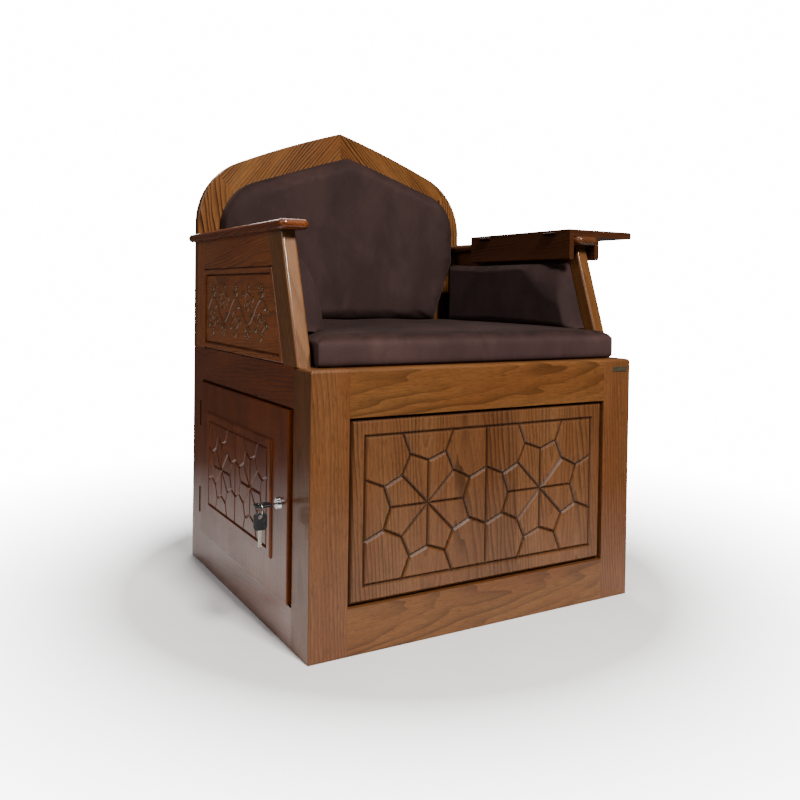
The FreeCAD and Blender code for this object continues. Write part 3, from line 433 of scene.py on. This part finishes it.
def inflate(piece, cap):
    """Let a closed cover swell as cloth and keep each point within cap of where it began."""
    start = [v.co.copy() for v in piece.data.vertices]
    cloth = piece.modifiers.new("stuffing", "CLOTH")
    settings = cloth.settings
    settings.use_pressure = True
    settings.uniform_pressure_force = PRESSURE
    settings.mass = 0.3
    settings.tension_stiffness = 18
    settings.compression_stiffness = 12
    settings.bending_stiffness = 1.2
    settings.effector_weights.gravity = 0
    cloth.point_cache.frame_start = 1
    cloth.point_cache.frame_end = SIM_FRAMES
    scene = bpy.context.scene
    scene.frame_start = 1
    scene.frame_end = SIM_FRAMES
    for number in range(1, SIM_FRAMES + 1):
        scene.frame_set(number)
        bpy.context.view_layer.update()
    swollen = piece.evaluated_get(bpy.context.evaluated_depsgraph_get()).data
    moved = [v.co.copy() for v in swollen.vertices]
    piece.modifiers.remove(cloth)
    for vertex, before, after in zip(piece.data.vertices, start, moved):
        step = after - before
        if step.length > cap:
            step *= cap / step.length
        vertex.co = before + step
    scene.frame_set(1)


def smooth_finish(piece):
    """One subdivision, then smooth shading."""
    modifier = piece.modifiers.new("finer", "SUBSURF")
    modifier.levels = 1
    modifier.render_levels = 1
    apply_modifier(piece, modifier)
    piece.data.shade_smooth()


def relax(piece, rounds):
    modifier = piece.modifiers.new("relax", "SMOOTH")
    modifier.factor = 0.5
    modifier.iterations = rounds
    apply_modifier(piece, modifier)


def hold_inside(piece, low, high):
    """Press the cover flat against the surfaces it rests on."""
    for vertex in piece.data.vertices:
        for axis in range(3):
            if vertex.co[axis] < low[axis]:
                vertex.co[axis] = low[axis]
            if vertex.co[axis] > high[axis]:
                vertex.co[axis] = high[axis]


def fit(piece, axes, box):
    """Stretch the cover along the given axes until it fills the plain pad's box again."""
    for axis in axes:
        places = [vertex.co[axis] for vertex in piece.data.vertices]
        low, high = min(places), max(places)
        ratio = (box[1][axis] - box[0][axis]) / (high - low)
        for vertex in piece.data.vertices:
            vertex.co[axis] = box[0][axis] + (vertex.co[axis] - low) * ratio


def cushion(name, node, shape, axes, low, high, cap):
    """Replace a plain CAD pad by a stuffed cover. shape(co, box) gives each start point, axes are
    those it fills from end to end; low and high are the planes that the cover may not pass."""
    piece = copy_of(node, name)
    remesh(piece)
    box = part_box(node)
    for vertex in piece.data.vertices:
        vertex.co = shape(vertex.co.copy(), box)
    inflate(piece, cap)
    relax(piece, 2)
    fit(piece, axes, box)
    hold_inside(piece, low, high)
    smooth_finish(piece)
    piece.data.materials.clear()
    piece.data.materials.append(VELVET)
    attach(piece, "frame")
    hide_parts(node)


def share(value, low, high):
    """Where value lies between low and high, as -1 to 1."""
    return max(-1.0, min(1.0, 2 * (value - low) / (high - low) - 1))


SEAT_FREE_FRONT = 0.044      # the part of the seat pad that stands in front of the arm posts
SEAT_WIDENING = 0.016        # the length over which it widens there
SEAT_BULGE = 0.005
SEAT_OVERFILL = 0.002        # widening that the planes press flat again
SEAT_CROWN = 0.010
SEAT_SETTLE = 0.004          # taken off everywhere, which the pressure gives back
SEAT_RIPPLE = 0.0016
SEAT_ROOM = 0.012            # how far the seat pad may rise past the plain pad
SEAT_FRONT_ROOM = 0.002
SEAT_CAP = 0.006             # the furthest that the pressure may move a point
BACK_PAD_FLARE = 0.05        # how much wider the back pad's foot becomes, of its half width
BACK_WAIST = 0.165           # height of the waist above its foot
BACK_FULLEST = 0.40          # height of its fullest place, as a share
BACK_FULL_REACH = 0.30       # how far above and below it the fullness fades
BACK_FULL = 0.007
BACK_START_THINNER = 0.006
BACK_ROOM = 0.010            # how far the back pad may stand in front of the plain pad
BACK_CAP = 0.012
BACK_OFF_SEAT = 0.0005
ARM_PAD_NOSE = 0.024         # radius of the arm pad's front end
ARM_PAD_TAPER = 0.08         # length over which its upper edge thins towards the front
ARM_PAD_LEAST = 0.20         # its least thickness at the upper edge, as a share
ARM_PAD_ROUND = 2.2          # power of the curve of its upper edge
ARM_PAD_ROOM = 0.002
ARM_PAD_CAP = 0.005


def seat_shape(co, box):
    """Crowned over its middle, with soft ripples, and a little wider in front of the arm posts."""
    low, high = box
    u = share(co.x, low.x, high.x)
    v = share(co.y, low.y, high.y)
    up = (co.z - low.z) / (high.z - low.z)
    crown = SEAT_CROWN * (1 - u ** 4) * (1 - v ** 4) - SEAT_SETTLE
    ripple = SEAT_RIPPLE * math.sin(co.x * 31 + 2.0 * math.sin(co.y * 17)) * (0.5 + 0.5 * v)
    co.z += up * (crown + ripple)
    free = max(0.0, min(1.0, (low.y + SEAT_FREE_FRONT - co.y) / SEAT_WIDENING))
    co.x += u * abs(u) ** 3 * (SEAT_BULGE + SEAT_OVERFILL) * free
    return co


def back_shape(co, box):
    """Thinner at the start so that it swells to its place, fullest at the small of the back, and
    wider at its foot to close the corners behind the arm pads."""
    low, high = box
    middle_z = low.z + BACK_FULLEST * (high.z - low.z)
    u = share(co.x, low.x, high.x)
    v = (co.z - middle_z) / BACK_FULL_REACH
    out = (high.y - co.y) / (high.y - low.y)
    co.y -= out * (BACK_FULL * (1 - u ** 4) * math.exp(-v * v) - BACK_START_THINNER)
    waist_z = low.z + BACK_WAIST
    co.x *= 1 + BACK_PAD_FLARE * max(0.0, (waist_z - co.z) / BACK_WAIST)
    return co


def arm_shape(co, box):
    """A flat pad whose front end thins in a quarter round towards its upper edge and its nose."""
    low, high = box
    inner = low.x if abs(low.x) < abs(high.x) else high.x
    outer = high.x if inner == low.x else low.x
    up = max(0.0, min(1.0, (co.z - low.z) / (high.z - low.z)))
    lean = ARM_LEAN[1] * (co.z - low.z)
    behind_nose = max(0.0, co.y - low.y - lean)
    front = (1 - (1 - min(1.0, behind_nose / ARM_PAD_NOSE)) ** 2) ** 0.5
    taper = math.exp(-(behind_nose / ARM_PAD_TAPER) ** 2)
    upper = 1 - taper * (1 - max(ARM_PAD_LEAST, (1 - up ** ARM_PAD_ROUND) ** 0.5))
    thick = upper * (0.35 + 0.65 * front)
    co.x = outer + (co.x - outer) * thick
    return co


def cushions():
    low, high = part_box("seat_cushion")
    seat_top = high.z
    cushion("seat_pad", "seat_cushion", seat_shape, (1,),
            (low.x - SEAT_BULGE, low.y - SEAT_FRONT_ROOM, low.z),
            (high.x + SEAT_BULGE, high.y, high.z + SEAT_ROOM), SEAT_CAP)
    low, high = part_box("back_cushion")
    cushion("back_pad", "back_cushion", back_shape, (0, 2),
            (low.x, low.y - BACK_ROOM, seat_top + BACK_OFF_SEAT), (high.x, high.y, high.z), BACK_CAP)
    for side in ("left", "right"):
        low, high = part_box("arm_cushion_" + side)
        inner_low = low.x - (ARM_PAD_ROOM if side == "right" else 0)
        inner_high = high.x + (ARM_PAD_ROOM if side == "left" else 0)
        cushion("arm_pad_" + side, "arm_cushion_" + side, arm_shape, (1, 2),
                (inner_low, low.y, low.z), (inner_high, high.y, high.z), ARM_PAD_CAP)


# ---- carved vine relief on the arm panels ----

FIELD_OUT = 0.0015           # the field's face inside the arm's outer face
RELIEF_HIGH = 0.0036
ROOTED = 0.0004              # how deep the relief's rim is sunk into the field
ROUND_STEPS = 8              # facets across a stem or a leaf
LEAF_STEPS = 14
BERRY_SIDES = 12
BERRY_RINGS = 6
SPIRAL_STEPS = 34
VINE_BENDS = 5
VINE_STEPS = 90
VINE_SWING = 0.026
STEM = 0.0021                # radius
TENDRIL = (0.0019, 0.0012)   # radius at its start and at its tip
TENDRIL_REACH = 0.027
TENDRIL_ASIDE = 0.016        # of its middle from the vine's middle line
TENDRIL_LEAF = (0.020, 0.0095)
TENDRIL_LEAVES_AT = 0.026
TENDRIL_LEAF_TURNS = (0.25, 0.95, 1.65, 2.35)
SPRAY_LEAF = (0.021, 0.0085)
SPRAY_ABOVE = 0.004
SPRAY_BERRY = 0.0030
HEART_BERRY = 0.0042
BERRY_ASIDE = 0.0105
BERRY_ABOVE = 0.024
BERRY_SAG = 0.004
VINE_FRONT_MARGIN = 0.085
VINE_BACK_MARGIN = 0.030
VINE_SEED = 90


class Relief:
    """A mesh drawn in (u, v) on a panel, standing h out of it."""

    def __init__(self):
        self.mesh = bmesh.new()

    def strip(self, rows, closed_ends=True):
        """Join rows of points into a skin."""
        made = [[self.mesh.verts.new(p) for p in row] for row in rows]
        for a, b in zip(made, made[1:]):
            for i in range(len(a) - 1):
                self.mesh.faces.new((a[i], a[i + 1], b[i + 1], b[i]))
        if closed_ends:
            self.mesh.faces.new(list(reversed(made[0])))
            self.mesh.faces.new(made[-1])

    def stem(self, points, start_radius, end_radius):
        """A half-round stem along points, tapering."""
        count = len(points)
        rows = []
        for i, (u, v) in enumerate(points):
            before = Vector(points[max(i - 1, 0)])
            after = Vector(points[min(i + 1, count - 1)])
            along = (after - before).normalized()
            side = Vector((-along.y, along.x))
            t = i / (count - 1)
            radius = start_radius + (end_radius - start_radius) * t
            row = []
            for k in range(ROUND_STEPS + 1):
                angle = math.pi * k / ROUND_STEPS
                offset = side * radius * math.cos(angle)
                lift = radius * 1.15 * math.sin(angle) - ROOTED
                row.append((u + offset.x, v + offset.y, lift))
            rows.append(row)
        self.strip(rows)

    def leaf(self, base, heading, length, width, curl):
        """A domed pointed leaf with a sunk midrib, bending sideways by curl."""
        rows = []
        for i in range(LEAF_STEPS + 1):
            t = i / LEAF_STEPS
            angle = heading + curl * t
            along = Vector((math.cos(heading + curl * t / 2), math.sin(heading + curl * t / 2)))
            centre = Vector(base) + along * length * t
            side = Vector((-math.sin(angle), math.cos(angle)))
            half = max(width / 2 * math.sin(math.pi * t ** 0.8) ** 0.8, 0.00012)
            row = []
            for k in range(ROUND_STEPS + 1):
                across = math.cos(math.pi * k / ROUND_STEPS)
                dome = (1 - across * across) ** 0.5
                rib = 0.45 * math.exp(-(across / 0.22) ** 2)
                lift = RELIEF_HIGH * (dome - rib) * min(1.0, half / (width * 0.3)) - ROOTED
                point = centre + side * half * across
                row.append((point.x, point.y, lift))
            rows.append(row)
        self.strip(rows)

    def berry(self, centre, radius):
        """A half ball with a small flat top."""
        turns = [2 * math.pi * k / BERRY_SIDES for k in range(BERRY_SIDES + 1)]
        rows = []
        for i in range(BERRY_RINGS):
            rise = math.pi / 2 * i / (BERRY_RINGS - 0.8)
            r = radius * math.cos(rise)
            lift = RELIEF_HIGH * 1.1 * math.sin(rise) - ROOTED
            rows.append([(centre[0] + r * math.cos(a), centre[1] + r * math.sin(a), lift)
                         for a in turns])
        self.strip(rows, closed_ends=False)
        self.mesh.faces.new([self.mesh.verts.new(p) for p in rows[-1][:BERRY_SIDES]])


def spiral(centre, radius, start, turns):
    """Points winding inwards from start (radians) round centre; turns may be negative."""
    points = []
    for i in range(SPIRAL_STEPS + 1):
        t = i / SPIRAL_STEPS
        r = radius * (1 - 0.80 * t)
        angle = start + turns * 2 * math.pi * t
        points.append((centre[0] + r * math.cos(angle), centre[1] + r * math.sin(angle)))
    return points


def tendril(relief, centre, up):
    """A curl round centre with four leaves on its outside."""
    start = math.pi - up * math.pi * 0.05
    relief.stem(spiral(centre, TENDRIL_REACH, start, up * 1.30), *TENDRIL)
    for turn in TENDRIL_LEAF_TURNS:
        heading = -up * turn * math.pi / 2 - up * 0.4
        base = (centre[0] + TENDRIL_LEAVES_AT * math.cos(heading),
                centre[1] + TENDRIL_LEAVES_AT * math.sin(heading))
        relief.leaf(base, heading + up * 0.35, *TENDRIL_LEAF, up * 0.7)


def spray(relief, top, up):
    """Three leaves and three berries on the crest of a bend."""
    for spread in (-1, 0, 1):
        relief.leaf(top, up * math.pi / 2 - spread * 0.75, *SPRAY_LEAF, -spread * 0.5)
        berry = (top[0] + spread * BERRY_ASIDE,
                 top[1] + up * (BERRY_ABOVE - BERRY_SAG * abs(spread)))
        relief.berry(berry, SPRAY_BERRY)


def vine_scroll(relief, low_u, high_u, middle_v):
    """A wavy stem with a curling tendril, leaves and berries in each of its bends."""
    pitch = (high_u - low_u) / VINE_BENDS
    wave = []
    for i in range(VINE_STEPS + 1):
        u = low_u + (high_u - low_u) * i / VINE_STEPS
        wave.append((u, middle_v + VINE_SWING * math.sin(math.pi * (u - low_u) / pitch)))
    relief.stem(wave, STEM, STEM)
    for k in range(VINE_BENDS):
        up = 1 if k % 2 == 0 else -1
        centre = (low_u + pitch * (k + 0.55), middle_v - up * TENDRIL_ASIDE)
        tendril(relief, centre, up)
        spray(relief, (low_u + pitch * (k + 0.5), middle_v + up * (VINE_SWING + SPRAY_ABOVE)), up)
        relief.berry(centre, HEART_BERRY)


def arm_relief(side):
    """The relief on one arm panel; side is -1 for the left arm and 1 for the right."""
    name = "left" if side < 0 else "right"
    low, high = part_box("arm_panel_" + name)
    relief = Relief()
    middle_v = (low.z + high.z) / 2
    vine_scroll(relief, low.y + VINE_FRONT_MARGIN, high.y - VINE_BACK_MARGIN, middle_v)
    face_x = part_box("arm_post_" + name)[0 if side < 0 else 1].x - side * FIELD_OUT
    for vertex in relief.mesh.verts:
        u, v, h = vertex.co
        vertex.co = Vector((face_x + side * h, u, v))
    bmesh.ops.recalc_face_normals(relief.mesh, faces=relief.mesh.faces)
    mesh = bpy.data.meshes.new("arm_vine_" + name)
    relief.mesh.to_mesh(mesh)
    relief.mesh.free()
    mesh.shade_smooth()
    piece = bpy.data.objects.new("arm_vine_" + name, mesh)
    bpy.context.scene.collection.objects.link(piece)
    # painted highlight: the vine is made paler than the panel
    mesh.materials.append(wood("wood_vine_" + name, "arm_panel_" + name, "y", WALNUT_PAINTED_LIGHT,
                               VINE_SEED + side, 0.4, 1.0, WHOLE, 0.0060))
    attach(piece, "frame")


# ---- floor, light and camera ----

CAMERA_AT = (-0.9704, -1.6730, 0.6536)
CAMERA_YAW = math.radians(30.12)
CAMERA_PITCH = math.radians(1.07)
CAMERA_ROLL = math.radians(0.83)
CAMERA_LENS = 37.46
CAMERA_SHIFT_Y = -0.115
BACKDROP_BRIGHTNESS = 16.0
AMBIENT = 0.055
FLOOR_SIZE = 14.0
FLOOR_CELLS = 8
FLOOR_DROP = 0.0006          # keeps the floor clear of the base's underside
FLOOR_FADE = (0.6, 1.6)      # distances from the middle between which it fades into the backdrop


def floor():
    """A wide pale floor under the chair, faintly mottled, fading into the backdrop."""
    mesh = bmesh.new()
    bmesh.ops.create_grid(mesh, x_segments=FLOOR_CELLS, y_segments=FLOOR_CELLS, size=FLOOR_SIZE)
    data = bpy.data.meshes.new("floor")
    mesh.to_mesh(data)
    mesh.free()
    piece = bpy.data.objects.new("floor", data)
    bpy.context.scene.collection.objects.link(piece)
    piece.location.z = -FLOOR_DROP
    s = Shader("floor")
    mottled = s.noise(s.place(), 3.0, 4.0)
    colour = s.mix(s.remap(mottled, 0.35, 0.65), rgb(240, 240, 240), rgb(246, 246, 246))
    s.surface(Base_Color=colour, Roughness=0.75, Specular_IOR_Level=0.2)
    away = s.add("VectorMath", {0: s.place()}, operation="LENGTH").outputs["Value"]
    clear = s.add("BsdfTransparent", {})
    fade = s.add("MixShader", {0: s.remap(away, *FLOOR_FADE), 1: s.principled.outputs[0],
                               2: clear.outputs[0]})
    s.tree.links.new(fade.outputs[0], s.tree.nodes["Material Output"].inputs["Surface"])
    data.materials.append(s.material)


def area_light(name, at, target, size, power, colour):
    data = bpy.data.lights.new(name, "AREA")
    data.shape = "RECTANGLE"
    data.size, data.size_y = size
    data.energy = power
    data.color = colour
    lamp = bpy.data.objects.new(name, data)
    lamp.location = at
    lamp.rotation_mode = "QUATERNION"
    lamp.rotation_quaternion = (Vector(target) - Vector(at)).to_track_quat("-Z", "Y")
    bpy.context.scene.collection.objects.link(lamp)


# name, place, what it points at, size, watts, colour
LAMPS = [
    ("key", (-0.05, -2.9, 3.3), (0.0, -0.1, 0.5), (0.7, 1.0), 305, (1.0, 0.97, 0.93)),
    ("fill", (-2.8, -1.0, 2.3), (0.0, 0.0, 0.6), (1.6, 1.6), 34, (0.98, 0.97, 0.97)),
    ("top", (0.1, 0.35, 3.4), (0.0, 0.1, 0.5), (1.2, 1.2), 30, (1.0, 1.0, 1.0)),
    ("rear", (1.0, 3.2, 2.2), (0.0, 0.3, 0.5), (2.2, 2.2), 85, (1.0, 0.98, 0.95)),
]


def backdrop():
    """A white studio seen by the camera, which lights the chair only faintly."""
    world = bpy.data.worlds.new("studio")
    world.use_nodes = True
    tree = world.node_tree
    seen = tree.nodes["Background"]
    seen.inputs["Color"].default_value = (1.0, 1.0, 1.0, 1.0)
    seen.inputs["Strength"].default_value = BACKDROP_BRIGHTNESS
    ambient = tree.nodes.new("ShaderNodeBackground")
    ambient.inputs["Color"].default_value = (1.0, 1.0, 1.0, 1.0)
    ambient.inputs["Strength"].default_value = AMBIENT
    rays = tree.nodes.new("ShaderNodeLightPath")
    mix = tree.nodes.new("ShaderNodeMixShader")
    tree.links.new(rays.outputs["Is Camera Ray"], mix.inputs[0])
    tree.links.new(ambient.outputs[0], mix.inputs[1])
    tree.links.new(seen.outputs[0], mix.inputs[2])
    tree.links.new(mix.outputs[0], tree.nodes["World Output"].inputs["Surface"])
    bpy.context.scene.world = world


def camera():
    data = bpy.data.cameras.new("camera")
    data.lens = CAMERA_LENS
    data.sensor_width = 36.0
    data.shift_y = CAMERA_SHIFT_Y
    piece = bpy.data.objects.new("camera", data)
    piece.location = CAMERA_AT
    forward = Vector((math.sin(CAMERA_YAW) * math.cos(CAMERA_PITCH),
                      math.cos(CAMERA_YAW) * math.cos(CAMERA_PITCH), -math.sin(CAMERA_PITCH)))
    level = forward.cross(Vector((0, 0, 1))).normalized()
    above = level.cross(forward)
    right = level * math.cos(CAMERA_ROLL) + above * math.sin(CAMERA_ROLL)
    up = right.cross(forward)
    piece.rotation_mode = "QUATERNION"
    piece.rotation_quaternion = Matrix((right, up, -forward)).transposed().to_quaternion()
    bpy.context.scene.collection.objects.link(piece)
    bpy.context.scene.camera = piece


VELVET = velvet()
dress_frame()
cushions()
arm_relief(-1)
arm_relief(1)
floor()
for lamp in LAMPS:
    area_light(*lamp)
backdrop()
camera()
